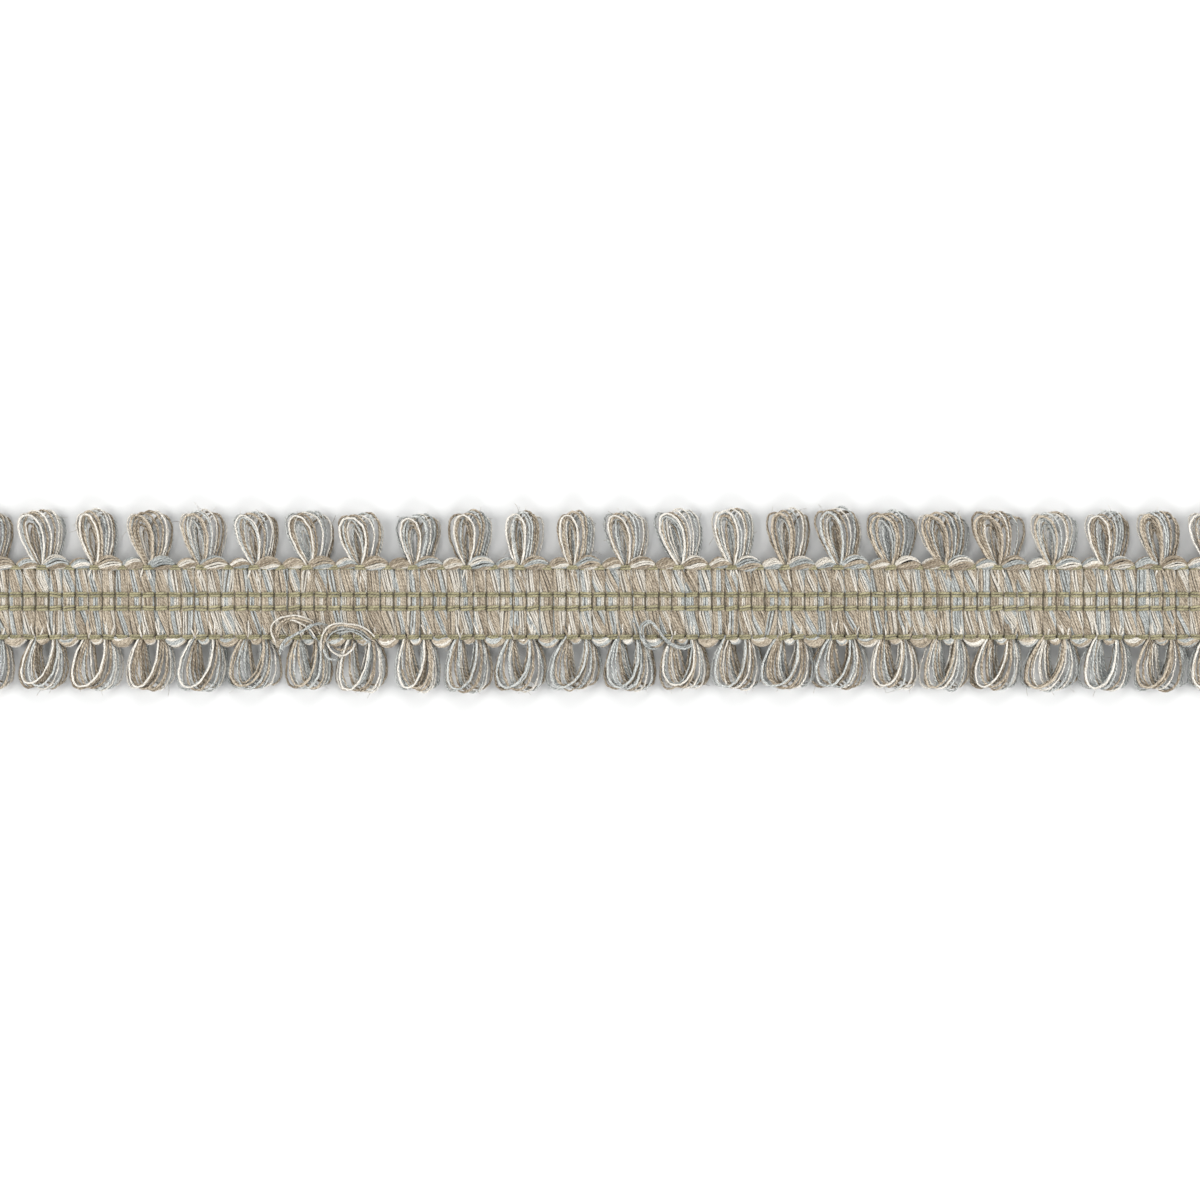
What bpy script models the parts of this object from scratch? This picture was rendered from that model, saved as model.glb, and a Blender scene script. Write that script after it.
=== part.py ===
"""Looped gimp braid: a cut length of narrow woven trim with a fan of yarn loops along each edge.

Metres, +Z up. The braid lies face up on its flat underside. +X runs along it, +Y is the edge with the narrow
upright loops, and the origin is the middle of the woven band's underside.
"""

import math

import bmesh
import bpy
import numpy as np

MM = 0.001

# Driving sizes of the braid
LOOPS = 24
LOOP_PITCH = 11.26 * MM
RIBS_PER_LOOP = 4
EDGE_LINE = 7.35 * MM
PART_GAP = 0.3 * MM
BAND_THICKNESS = 2.6 * MM
GROOVE_DEPTH = 0.75 * MM

# Worked out from them
RIB_PITCH = LOOP_PITCH / RIBS_PER_LOOP
BAND_LENGTH = LOOPS * LOOP_PITCH
BAND_HALF = EDGE_LINE - PART_GAP

# The first neck stands this many ribs from the cut end, and a lower loop stands a little right of a neck
FIRST_NECK = -BAND_LENGTH / 2 + 1.87 * RIB_PITCH
LOWER_CENTRE_SHIFT = 0.95 * MM

# Across the band: the face is drawn in under each of the four rows of binding thread, and is full between them
UPPER_ROW_Y = 1.6 * MM
LOWER_ROW_Y = -1.25 * MM
PINCH_HALF = 1.0 * MM
PINCH_DEPTH = 0.75 * MM
EDGE_DRAW_IN = 0.45 * MM

# The rows of binding thread are flat pairs of thread, those at the edges a little higher
ROW_WIDTH = 0.9 * MM
ROW_THICKNESS = 0.4 * MM
MIDDLE_ROW_Z = 2.5 * MM
EDGE_ROW_Z = 2.68 * MM
EDGE_ROW_Y = EDGE_LINE - PART_GAP / 2

# Each loop is three locks of yarn, fanned from the front left to the back right
LOCKS = 3
LOCK_WIDTH = 1.3 * MM
LOCK_HEIGHT = 1.15 * MM
LOCK_STEPS = 10
LOCK_LEVELS = (3.0 * MM, 1.5 * MM, 0.0)
ROOT_LEVELS = (1.5 * MM, 0.8 * MM, 0.12 * MM)
ROOT_THINNING = 0.5
ROOT_INSET = 0.4 * MM
ROOT_FAN = 0.5 * MM
OUTER_LOCKS_SHORT = 0.35 * MM
LOCK_SPAN = 0.66
DROP_POWER = 1.2
UPPER_STEM = 0.6 * MM
LOWER_STEM = 2.0 * MM

# One row for each upper loop, in millimetres: how far its neck stands from its even place, how far the loop
# goes to the left and right of the neck, and how far it stands out from the edge line
LOOP_COLUMNS = ("shift", "left", "right", "reach")
UPPER_LOOPS = (
    (0.0, 4.9, 5.1, 12.3), (0.0, 5.1, 4.9, 12.4), (0.5, 4.4, 4.3, 12.4), (0.6, 4.7, 5.3, 12.2),
    (0.3, 4.5, 5.1, 12.5), (0.6, 4.9, 4.7, 12.0), (0.7, 5.2, 4.7, 12.2), (0.0, 4.7, 5.3, 11.7),
    (0.1, 3.3, 6.1, 11.6), (0.0, 3.3, 5.7, 12.2), (-0.1, 2.8, 5.1, 12.2), (-0.1, 3.0, 4.5, 12.2),
    (-0.1, 4.7, 4.7, 12.2), (0.4, 5.9, 4.1, 12.5), (-0.1, 4.2, 4.7, 12.7), (0.0, 3.9, 5.1, 12.6),
    (0.0, 5.1, 4.7, 12.8), (-0.5, 5.0, 5.5, 12.2), (-0.3, 5.5, 5.1, 12.2), (-0.4, 5.5, 5.8, 12.2),
    (-0.1, 4.9, 5.5, 12.0), (-0.1, 4.4, 5.4, 12.1), (0.0, 4.7, 4.2, 12.1), (0.0, 5.1, 4.4, 12.2),
)

# The same for the lower loops, measured from the middle of the loop's two stems
LOWER_LOOPS = (
    (0.0, 5.2, 4.7, 11.2), (0.6, 6.2, 4.0, 11.2), (0.4, 6.2, 4.4, 11.4), (0.4, 5.8, 4.1, 11.4),
    (0.5, 6.5, 3.9, 11.6), (-0.3, 6.4, 4.7, 11.2), (-0.3, 4.6, 4.6, 11.3), (-0.4, 5.9, 4.8, 11.8),
    (-0.1, 4.2, 4.9, 11.6), (-0.2, 5.5, 4.2, 11.8), (-0.4, 5.8, 4.8, 11.7), (0.2, 6.3, 4.2, 11.4),
    (-0.1, 5.1, 5.2, 11.4), (0.0, 4.8, 5.2, 11.2), (0.4, 5.4, 4.6, 11.3), (0.1, 6.6, 4.7, 11.2),
    (-0.3, 6.3, 5.5, 11.1), (-0.6, 4.7, 4.9, 11.2), (-0.5, 6.0, 4.1, 11.5), (-0.4, 6.6, 3.7, 11.4),
    (-0.2, 6.9, 4.7, 11.5), (-0.2, 6.1, 4.6, 11.6), (0.0, 6.5, 4.8, 11.5), (0.0, 6.2, 4.7, 11.4),
)

# Along one repeat of an edge, in millimetres: the place from the neck, and how far the edge stands out and up.
# It is drawn in at each float of binding thread and swells in each scallop, where a weft turns back
EDGE_COLUMNS = ("from_neck", "outward", "height")
UPPER_EDGE = (
    (-1.3, 1.0, 2.2), (0.9, 1.8, 2.8), (3.0, 2.45, 3.1), (4.9, 1.9, 2.8), (5.8, 1.0, 2.2), (7.6, 2.0, 2.9),
)
LOWER_EDGE = (
    (-1.1, 0.85, 2.2), (0.8, 1.5, 2.6), (2.6, 0.85, 2.2), (4.6, 1.7, 2.8), (6.6, 2.05, 3.0), (8.4, 1.5, 2.6),
)
EDGE_INNER_HEIGHT = 2.1 * MM
EDGE_END_MARGIN = 0.5 * MM

# Section of an edge, as shares of how far it stands out and up: floor, outer side, shoulder, crown, inner side
EDGE_SECTION = ((0.0, 0.0), (1.0, 0.0), (1.0, 0.55), (0.6, 1.0), (0.0, 0.9))

# Tufts of the lower edge that have sprung up and curl over the face of the band. Each is an arc in plan, in
# millimetres and degrees: its middle, its two radii, its first and last angle, the share of its radii that is
# left at the last angle, and how many of its ends the edge holds
CURL_COLUMNS = ("x", "y", "along", "across", "start", "end", "shrink", "ends_held")
CURLS = (
    (-63.6, -8.5, 5.4, 6.2, 178.0, 2.0, 1.0, 2),
    (-51.6, -8.5, 4.9, 4.5, 2.0, 205.0, 0.8, 1),
    (14.9, -8.5, 4.4, 4.8, 178.0, 60.0, 0.8, 1),
)
CURL_STEPS = 12
CURL_THICKNESS = 0.85
CURL_ROOT_Z = 1.5 * MM
CURL_ROOT_LEAN = 0.3 * MM
CURL_CREST_Z = 3.5 * MM

TAUPE_YARN = (0.42, 0.36, 0.29, 1.0)
CREAM_YARN = (0.62, 0.60, 0.54, 1.0)
OLIVE_THREAD = (0.36, 0.34, 0.21, 1.0)


def clear_scene():
    """Removes the startup objects."""
    for obj in list(bpy.data.objects):
        bpy.data.objects.remove(obj, do_unlink=True)


def new_collection(name):
    """A collection of the scene."""
    collection = bpy.data.collections.new(name)
    bpy.context.scene.collection.children.link(collection)
    return collection


def yarn_material(name, colour, roughness):
    """A plain dyed yarn."""
    material = bpy.data.materials.new(name)
    material.use_nodes = True
    shader = material.node_tree.nodes["Principled BSDF"]
    shader.inputs["Base Color"].default_value = colour
    shader.inputs["Roughness"].default_value = roughness
    shader.inputs["Metallic"].default_value = 0.0
    return material


def rows(columns, table):
    """Each row of a table as a dictionary by column name."""
    return [dict(zip(columns, row)) for row in table]


def object_from(name, data, collection):
    """A new object of this mesh or curve in the collection."""
    obj = bpy.data.objects.new(name, data)
    collection.objects.link(obj)
    return obj


def mesh_of(shape, name):
    """The finished mesh of a bmesh, with its faces pointing out."""
    bmesh.ops.recalc_face_normals(shape, faces=shape.faces[:])
    mesh = bpy.data.meshes.new(name)
    shape.to_mesh(mesh)
    shape.free()
    return mesh


def band_columns():
    """Places along the band, with how deep the groove is there: none on a rib's crest, full between two ribs."""
    places = [-BAND_LENGTH / 2]
    grooves = [GROOVE_DEPTH]
    for rib in range(LOOPS * RIBS_PER_LOOP):
        crest = -BAND_LENGTH / 2 + (rib + 0.5) * RIB_PITCH
        places += [crest, crest + RIB_PITCH / 2]
        grooves += [0.0, GROOVE_DEPTH]
    return places, grooves


def band_rows():
    """Places across the band, with how far the face is drawn in there, and the share of the groove's depth."""
    between = (UPPER_ROW_Y + LOWER_ROW_Y) / 2
    return [
        (-BAND_HALF, EDGE_DRAW_IN, 0.6),
        ((LOWER_ROW_Y - BAND_HALF) / 2, 0.0, 1.0),
        (LOWER_ROW_Y - PINCH_HALF, 0.1 * MM, 1.0),
        (LOWER_ROW_Y, PINCH_DEPTH, 0.4),
        (between, 0.15 * MM, 1.0),
        (UPPER_ROW_Y, PINCH_DEPTH, 0.4),
        (UPPER_ROW_Y + PINCH_HALF, 0.1 * MM, 1.0),
        ((UPPER_ROW_Y + BAND_HALF) / 2, 0.0, 1.0),
        (BAND_HALF, EDGE_DRAW_IN, 0.6),
    ]


def make_band(collection, material):
    """The woven band: a grid whose face is raised in ribs, with its border taken down to a flat underside."""
    places, grooves = band_columns()
    across = band_rows()
    shape = bmesh.new()
    bmesh.ops.create_grid(shape, x_segments=len(places) - 1, y_segments=len(across) - 1, size=1.0)
    for vert in shape.verts:
        column = round((vert.co.x + 1) / 2 * (len(places) - 1))
        y, drawn_in, groove_share = across[round((vert.co.y + 1) / 2 * (len(across) - 1))]
        vert.co = (places[column], y, BAND_THICKNESS - drawn_in - grooves[column] * groove_share)
    border = [edge for edge in shape.edges if edge.is_boundary]
    walls = bmesh.ops.extrude_edge_only(shape, edges=border)["geom"]
    for item in walls:
        if isinstance(item, bmesh.types.BMVert):
            item.co.z = 0.0
    bmesh.ops.holes_fill(shape, edges=[edge for edge in shape.edges if edge.is_boundary], sides=0)
    flat = math.radians(0.5)
    bmesh.ops.dissolve_limit(shape, angle_limit=flat, verts=shape.verts[:], edges=shape.edges[:])
    band = object_from("woven_band", mesh_of(shape, "woven_band"), collection)
    band.data.materials.append(material)


def make_binding_row(number, y, floor, collection, material):
    """One flat pair of binding threads, lying along the band."""
    name = f"binding_row_{number}"
    shape = bmesh.new()
    bmesh.ops.create_cube(shape, size=1.0)
    bmesh.ops.scale(shape, vec=(BAND_LENGTH, ROW_WIDTH, ROW_THICKNESS), verts=shape.verts[:])
    row = object_from(name, mesh_of(shape, name), collection)
    row.data.materials.append(material)
    row.location = (0.0, y, floor + ROW_THICKNESS / 2)


def section_curve(name, outline, helpers):
    """A closed flat outline that a curve is swept with."""
    curve = bpy.data.curves.new(name, "CURVE")
    curve.dimensions = "2D"
    spline = curve.splines.new("POLY")
    spline.points.add(len(outline) - 1)
    for point, (x, y) in zip(spline.points, outline):
        point.co = (x, y, 0.0, 1.0)
    spline.use_cyclic_u = True
    section = object_from(name, curve, helpers)
    section.hide_render = True
    return section


def swept_shape(name, paths, section, helpers):
    """A bmesh of paths swept with a section that is kept upright. A path is a list of (place, thickness)."""
    curve = bpy.data.curves.new(name, "CURVE")
    curve.dimensions = "3D"
    curve.twist_mode = "Z_UP"
    curve.bevel_mode = "OBJECT"
    curve.bevel_object = section
    curve.use_fill_caps = True
    for path in paths:
        spline = curve.splines.new("POLY")
        spline.points.add(len(path) - 1)
        for point, (place, thickness) in zip(spline.points, path):
            point.co = (*place, 1.0)
            point.radius = thickness
    sweep = object_from(name, curve, helpers)
    bpy.context.view_layer.update()
    graph = bpy.context.evaluated_depsgraph_get()
    mesh = bpy.data.meshes.new_from_object(sweep.evaluated_get(graph))
    bpy.data.objects.remove(sweep, do_unlink=True)
    shape = bmesh.new()
    shape.from_mesh(mesh)
    bmesh.ops.remove_doubles(shape, verts=shape.verts[:], dist=0.001 * MM)
    return shape


def edge_stations(edge_table):
    """(place along the braid, outward, height) for the whole edge, cut level with the band's ends."""
    repeat = rows(EDGE_COLUMNS, edge_table)
    stations = []
    for loop in range(-1, LOOPS + 1):
        neck = FIRST_NECK + loop * LOOP_PITCH
        stations += [(neck + s["from_neck"] * MM, s["outward"] * MM, s["height"] * MM) for s in repeat]
    places, outward, height = (np.array(column) for column in zip(*stations))
    end = BAND_LENGTH / 2
    inside = places[np.abs(places) < end - EDGE_END_MARGIN]
    kept = np.concatenate([[-end], inside, [end]])
    return kept, np.interp(kept, places, outward), np.interp(kept, places, height)


def make_edge(name, side, edge_table, helpers, collection, material):
    """The narrow strip of turned wefts along one edge: a bar whose outer side and top swell in scallops."""
    places, outward, height = edge_stations(edge_table)
    section = section_curve(name + "_section", EDGE_SECTION, helpers)
    shape = swept_shape(name, [[((place, 0.0, 0.0), 1.0) for place in places]], section, helpers)
    for vert in shape.verts:
        across, up = abs(vert.co.y), vert.co.z
        top = np.interp(vert.co.x, places, height)
        vert.co.y = side * (EDGE_LINE + across * np.interp(vert.co.x, places, outward))
        vert.co.z = EDGE_INNER_HEIGHT if across < 0.01 and up > 0.01 else up * top
    edge = object_from(name, mesh_of(shape, name), collection)
    edge.data.materials.append(material)
    return edge


def lock_path(root_x, belly_x, half_width, stem, side, reach, root_z, level):
    """One lock's loop. It leaves the edge at one stem, follows a drop outline, and comes back at the other.

    With t from 0 to a whole turn, it is (1 - cos t) / 2 of the way out, and sin t * sin(t / 2) ** DROP_POWER
    to the side, which is a drop with its point at the edge. The stems add cos(t / 2) of their half spacing.
    """
    turn = np.linspace(0.0, 2 * math.pi, LOCK_STEPS + 1)
    out = (1 - np.cos(turn)) / 2
    rise = np.sin(turn / 2)
    widest = 2 * math.atan(math.sqrt(DROP_POWER + 1))
    fullest = math.sin(widest) * math.sin(widest / 2) ** DROP_POWER
    drop = np.sin(turn) * np.abs(rise) ** DROP_POWER / fullest
    belly = half_width - stem * math.cos(widest / 2)
    x = root_x + (belly_x - root_x) * out - belly * drop - stem * np.cos(turn / 2)
    root_y = EDGE_LINE + ROOT_INSET
    y = side * (root_y + (EDGE_LINE + reach - root_y) * out)
    z = root_z + (level - root_z) * rise
    thickness = ROOT_THINNING + (1 - ROOT_THINNING) * rise
    return [((x[i], y[i], z[i]), thickness[i]) for i in range(len(turn))]


def loop_locks(loop, centre, stem, side):
    """The locks of one loop: the front one furthest left and highest, the last one right and on the floor."""
    left, right = loop["left"] * MM, loop["right"] * MM
    half_width = LOCK_SPAN * (left + right) / 2
    first = centre - left + half_width
    last = centre + right - half_width
    paths = []
    for lock in range(LOCKS):
        share = lock / (LOCKS - 1)
        belly_x = first + (last - first) * share
        root_x = centre + (share - 0.5) * ROOT_FAN
        short = OUTER_LOCKS_SHORT if lock in (0, LOCKS - 1) else 0.0
        reach = loop["reach"] * MM - LOCK_WIDTH / 2 - short
        half = half_width - LOCK_WIDTH / 2
        paths.append(lock_path(root_x, belly_x, half, stem, side, reach, ROOT_LEVELS[lock], LOCK_LEVELS[lock]))
    return paths


def curl_path(curl):
    """A tuft that springs up out of the lower edge and bends in an arc over the face, clear of the band."""
    share = np.linspace(0.0, 1.0, CURL_STEPS + 1)
    angle = np.radians(curl["start"] + (curl["end"] - curl["start"]) * share)
    size = 1 + (curl["shrink"] - 1) * share
    x = (curl["x"] + curl["along"] * size * np.cos(angle)) * MM
    y = (curl["y"] + curl["across"] * size * np.sin(angle)) * MM
    path = [((x[i], y[i], CURL_CREST_Z), CURL_THICKNESS) for i in range(len(share))]
    root_y = y[0] - CURL_ROOT_LEAN
    path.insert(0, ((x[0], root_y, CURL_ROOT_Z), CURL_THICKNESS))
    if curl["ends_held"] == 2:
        path.append(((x[-1], root_y, CURL_ROOT_Z), CURL_THICKNESS))
    return path


def join_locks(edge, paths, name, section, helpers):
    """Fuses the roots of the locks into the edge with a Boolean union."""
    shape = swept_shape(name, paths, section, helpers)
    locks = object_from(name, mesh_of(shape, name), helpers)
    locks.hide_render = True
    locks.display_type = "WIRE"
    union = edge.modifiers.new("Roots", "BOOLEAN")
    union.operation = "UNION"
    union.solver = "EXACT"
    union.object = locks


def main():
    clear_scene()
    parts = new_collection("looped_gimp_braid")
    helpers = new_collection("helpers")
    taupe = yarn_material("taupe_yarn", TAUPE_YARN, 0.85)
    cream = yarn_material("cream_yarn", CREAM_YARN, 0.8)
    olive = yarn_material("olive_thread", OLIVE_THREAD, 0.7)

    make_band(parts, taupe)
    make_binding_row(1, EDGE_ROW_Y, EDGE_ROW_Z, parts, olive)
    make_binding_row(2, UPPER_ROW_Y, MIDDLE_ROW_Z, parts, olive)
    make_binding_row(3, LOWER_ROW_Y, MIDDLE_ROW_Z, parts, olive)
    make_binding_row(4, -EDGE_ROW_Y, EDGE_ROW_Z, parts, olive)

    lock_outline = ((-LOCK_WIDTH / 2, 0.0), (LOCK_WIDTH / 2, 0.0), (0.0, LOCK_HEIGHT))
    lock_section = section_curve("lock_section", lock_outline, helpers)

    upper_edge = make_edge("upper_loop_edge", 1, UPPER_EDGE, helpers, parts, cream)
    upper = []
    for number, loop in enumerate(rows(LOOP_COLUMNS, UPPER_LOOPS)):
        neck = FIRST_NECK + number * LOOP_PITCH + loop["shift"] * MM
        upper += loop_locks(loop, neck, UPPER_STEM, 1)
    join_locks(upper_edge, upper, "upper_locks", lock_section, helpers)

    lower_edge = make_edge("lower_loop_edge", -1, LOWER_EDGE, helpers, parts, cream)
    lower = []
    for number, loop in enumerate(rows(LOOP_COLUMNS, LOWER_LOOPS)):
        centre = FIRST_NECK + number * LOOP_PITCH + LOWER_CENTRE_SHIFT + loop["shift"] * MM
        lower += loop_locks(loop, centre, LOWER_STEM, -1)
    lower += [curl_path(curl) for curl in rows(CURL_COLUMNS, CURLS)]
    join_locks(lower_edge, lower, "lower_locks", lock_section, helpers)


main()
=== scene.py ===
"""The looks of a looped gimp braid: its yarn strands and binding threads, the floor, light and camera.

Tables and arrays are in millimetres and become metres where a mesh is made. +X runs along the braid, +Y
points to the edge with the upright loops, and +Z is up out of its face.
"""

import math

import bpy
import numpy as np
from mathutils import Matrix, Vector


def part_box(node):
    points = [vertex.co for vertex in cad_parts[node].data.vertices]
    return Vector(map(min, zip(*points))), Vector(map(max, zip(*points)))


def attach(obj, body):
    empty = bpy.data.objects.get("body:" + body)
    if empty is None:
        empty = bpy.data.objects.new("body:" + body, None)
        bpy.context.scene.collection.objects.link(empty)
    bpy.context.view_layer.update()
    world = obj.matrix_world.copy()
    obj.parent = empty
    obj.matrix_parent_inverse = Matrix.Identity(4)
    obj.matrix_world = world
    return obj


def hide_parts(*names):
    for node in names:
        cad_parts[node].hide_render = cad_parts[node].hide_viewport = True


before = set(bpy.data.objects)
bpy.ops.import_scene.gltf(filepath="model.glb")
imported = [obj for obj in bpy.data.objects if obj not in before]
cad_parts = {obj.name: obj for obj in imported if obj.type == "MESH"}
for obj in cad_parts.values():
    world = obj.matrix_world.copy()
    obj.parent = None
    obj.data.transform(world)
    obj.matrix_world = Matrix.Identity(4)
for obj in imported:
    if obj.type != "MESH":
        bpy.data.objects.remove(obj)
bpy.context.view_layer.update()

MM = 0.001
rng = np.random.default_rng(24)

# Sizes that the frame gives, and the plan of one repeat: four bundles of weft for each loop
LOOPS = 24
BUNDLES = 4 * LOOPS
band_low, band_high = (np.array(corner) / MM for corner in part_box("woven_band"))
LEFT_END, RIGHT_END = band_low[0], band_high[0]
LENGTH = RIGHT_END - LEFT_END
LOOP_PITCH = LENGTH / LOOPS
BUNDLE_PITCH = LENGTH / BUNDLES
EDGE_LINE = band_high[1] + 0.3
NECKS = LEFT_END + 1.87 * BUNDLE_PITCH + LOOP_PITCH * np.arange(LOOPS)

# The middle of a lower loop's two stems stands this far to the right of the neck, and its stems this far
# from there
STEM_SHIFT = 0.95
STEM_PLACES = (-1.9, 2.0)

# How far the bundles have drifted to the right at the middle of the braid, how that changes with each mm
# along it, and over what length it eases to nothing at an end
DRIFT, DRIFT_CHANGE, DRIFT_EASE = 0.9, -0.0042, 8.0

# The four rows of binding thread, from the upper edge to the lower: where each runs, the slope of its
# dashes, how far its two threads lie from its middle, and how light they are
ROW_Y = (EDGE_LINE, 1.6, -1.25, -EDGE_LINE)
ROW_SLOPE = (0.02, 0.0, 0.07, 0.05)
ROW_SPREAD = (0.25, 0.3, 0.3, 0.26)
ROW_TONE = (-1.3, -0.8, -0.6, -1.0)

# The height of the plane halfway through the band
MID_PLANE = 1.3

# Yarns, as the number each strand carries, the radius of each, and how much thinner or thicker a piece's
# strands are
CREAM, TAUPE, BLUE_GREY = 0.0, 1.0, 2.0
YARN_RADIUS = np.array([0.235, 0.285, 0.265])
LOOP_THICKNESS, SCALLOP_THICKNESS, CURL_THICKNESS, ROOT_THICKNESS = 0.91, 1.08, 0.78, 0.85
THREAD_RADIUS = 0.27

# Of the strands of a loop, bundle or scallop, the share that is cream, and the share that is cream or
# taupe
CREAM_SHARE, WARM_SHARE = 0.27, 0.69

# How light a strand is, from about -1 to 1: the range in a loop, what is added there by its yarn, the
# tone of a loop's foremost strand, which is a painted highlight on its topmost strand, what is added to
# cream in the band, and what is added along each edge of scallops
LOOP_TONES = (-0.8, 1.4)
TAUPE_LOOP_TONE, OTHER_LOOP_TONE, FRONT_HIGHLIGHT_TONE = -0.9, 0.3, 1.5
CREAM_WEFT_TONE = -1.5
UPPER_SCALLOP_TONE, LOWER_SCALLOP_TONE = -0.8, 0.2

# One row for each upper loop: how far its neck stands from its even place, how far it goes to the left
# and right of the neck, how far it stands out from the edge line, the yarn that lies foremost and the
# yarn that fills it
LOOP_COLUMNS = ("shift", "left", "right", "reach", "front", "fill")
UPPER_LOOPS = (
    (0.0, 4.9, 5.1, 12.3, CREAM, TAUPE),
    (0.0, 5.1, 4.9, 12.4, CREAM, TAUPE),
    (0.5, 4.4, 4.3, 12.4, CREAM, TAUPE),
    (0.6, 4.7, 5.3, 12.2, TAUPE, TAUPE),
    (0.3, 4.5, 5.1, 12.5, TAUPE, BLUE_GREY),
    (0.6, 4.9, 4.7, 12.0, CREAM, TAUPE),
    (0.7, 5.2, 4.7, 12.2, CREAM, TAUPE),
    (0.0, 4.7, 5.3, 11.7, CREAM, TAUPE),
    (0.1, 3.3, 6.1, 11.6, CREAM, BLUE_GREY),
    (0.0, 3.3, 5.7, 12.2, CREAM, TAUPE),
    (-0.1, 2.8, 5.1, 12.2, CREAM, BLUE_GREY),
    (-0.1, 3.0, 4.5, 12.2, CREAM, TAUPE),
    (-0.1, 4.7, 4.7, 12.2, CREAM, TAUPE),
    (0.4, 5.9, 4.1, 12.5, CREAM, BLUE_GREY),
    (-0.1, 4.2, 4.7, 12.7, CREAM, BLUE_GREY),
    (0.0, 3.9, 5.1, 12.6, TAUPE, TAUPE),
    (0.0, 5.1, 4.7, 12.8, BLUE_GREY, TAUPE),
    (-0.5, 5.0, 5.5, 12.2, TAUPE, BLUE_GREY),
    (-0.3, 5.5, 5.1, 12.2, TAUPE, TAUPE),
    (-0.4, 5.5, 5.8, 12.2, TAUPE, TAUPE),
    (-0.1, 4.9, 5.5, 12.0, TAUPE, BLUE_GREY),
    (-0.1, 4.4, 5.4, 12.1, CREAM, TAUPE),
    (0.0, 4.7, 4.2, 12.1, TAUPE, TAUPE),
    (0.0, 5.1, 4.4, 12.2, CREAM, TAUPE),
)

# The same for the lower loops, measured from the middle of the loop's two stems
LOWER_LOOPS = (
    (0.0, 5.2, 4.7, 11.2, CREAM, TAUPE),
    (0.6, 6.2, 4.0, 11.2, CREAM, TAUPE),
    (0.4, 6.2, 4.4, 11.4, CREAM, TAUPE),
    (0.4, 5.8, 4.1, 11.4, CREAM, TAUPE),
    (0.5, 6.5, 3.9, 11.6, CREAM, TAUPE),
    (-0.3, 6.4, 4.7, 11.2, TAUPE, BLUE_GREY),
    (-0.3, 4.6, 4.6, 11.3, TAUPE, BLUE_GREY),
    (-0.4, 5.9, 4.8, 11.8, CREAM, TAUPE),
    (-0.1, 4.2, 4.9, 11.6, CREAM, TAUPE),
    (-0.2, 5.5, 4.2, 11.8, BLUE_GREY, TAUPE),
    (-0.4, 5.8, 4.8, 11.7, BLUE_GREY, TAUPE),
    (0.2, 6.3, 4.2, 11.4, BLUE_GREY, TAUPE),
    (-0.1, 5.1, 5.2, 11.4, BLUE_GREY, TAUPE),
    (0.0, 4.8, 5.2, 11.2, CREAM, TAUPE),
    (0.4, 5.4, 4.6, 11.3, BLUE_GREY, TAUPE),
    (0.1, 6.6, 4.7, 11.2, BLUE_GREY, TAUPE),
    (-0.3, 6.3, 5.5, 11.1, BLUE_GREY, TAUPE),
    (-0.6, 4.7, 4.9, 11.2, CREAM, TAUPE),
    (-0.5, 6.0, 4.1, 11.5, TAUPE, BLUE_GREY),
    (-0.4, 6.6, 3.7, 11.4, CREAM, TAUPE),
    (-0.2, 7.4, 4.7, 11.5, TAUPE, TAUPE),
    (-0.2, 6.1, 4.6, 11.6, CREAM, BLUE_GREY),
    (0.0, 6.5, 4.8, 11.5, TAUPE, TAUPE),
    (0.0, 6.2, 4.7, 11.4, CREAM, TAUPE),
)

# The strands of one loop: the foremost, those that lie in its eye, those that stand to its right, and low
# ones that lie behind its left or deep in its eye. Each has its place from the left to the right of the
# loop, its width as a share of the foremost's, how far it stops short of the loop's reach, and the height
# of its crown
STRAND_COLUMNS = ("across", "width", "short", "level")
UPPER_PLAN = (
    (0.00, 1.00, 0.85, 3.8),
    (0.05, 0.84, 1.25, 3.3),
    (0.09, 0.68, 1.80, 2.8),
    (0.15, 0.50, 2.60, 2.3),
    (0.24, 0.34, 3.70, 1.8),
    (0.20, 1.00, 0.50, 3.4),
    (0.36, 1.02, 0.20, 3.0),
    (0.52, 1.00, 0.00, 2.5),
    (0.68, 0.98, 0.25, 1.9),
    (0.84, 0.96, 0.70, 1.3),
    (1.00, 0.94, 1.30, 0.6),
    (-0.14, 0.95, 0.60, 0.9),
    (0.02, 0.90, 0.80, 0.5),
)
LOWER_PLAN = (
    (0.00, 1.00, 0.60, 3.8),
    (0.08, 0.90, 0.90, 3.3),
    (0.30, 0.64, 1.10, 2.7),
    (0.42, 0.52, 1.50, 2.1),
    (0.52, 0.38, 2.20, 1.5),
    (0.26, 1.00, 0.30, 3.4),
    (0.42, 1.00, 0.10, 3.0),
    (0.58, 1.00, 0.00, 2.5),
    (0.72, 0.98, 0.20, 1.9),
    (0.86, 0.96, 0.55, 1.3),
    (1.00, 0.94, 1.10, 0.6),
    (0.36, 0.46, 1.30, 0.8),
    (0.50, 0.24, 1.90, 0.6),
    (-0.16, 1.00, 0.30, 0.8),
    (-0.05, 0.96, 0.60, 0.4),
)
LOOP_STEPS = 45

# How many strands behind the foremost may take the loop's filling yarn, and how likely each is to
FILL_STRANDS, FILL_SHARE = 5, 0.6

# How an edge's loops are drawn: the side of the braid, how much of a loop's whole width its strands have,
# how far they go beyond it on the right, where the first and the last strand's two feet stand from the
# middle, and the power that makes a drop narrow at its foot
UPPER_DRAW = {"side": 1, "span": 0.48, "beyond": 0.45, "left_foot": (-0.35, 0.9), "right_foot": (0.3, 2.9),
              "power": 1.2}
LOWER_DRAW = {"side": -1, "span": 0.54, "beyond": 1.2, "left_foot": (-2.7, -1.1), "right_foot": (1.2, 2.8),
              "power": 0.9}

# The height at which a loop's strands leave the edge, and how far the last one's foot lies below the
# first one's
FOOT_LEVEL, FOOT_DEPTH = 1.2, 0.9

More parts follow.
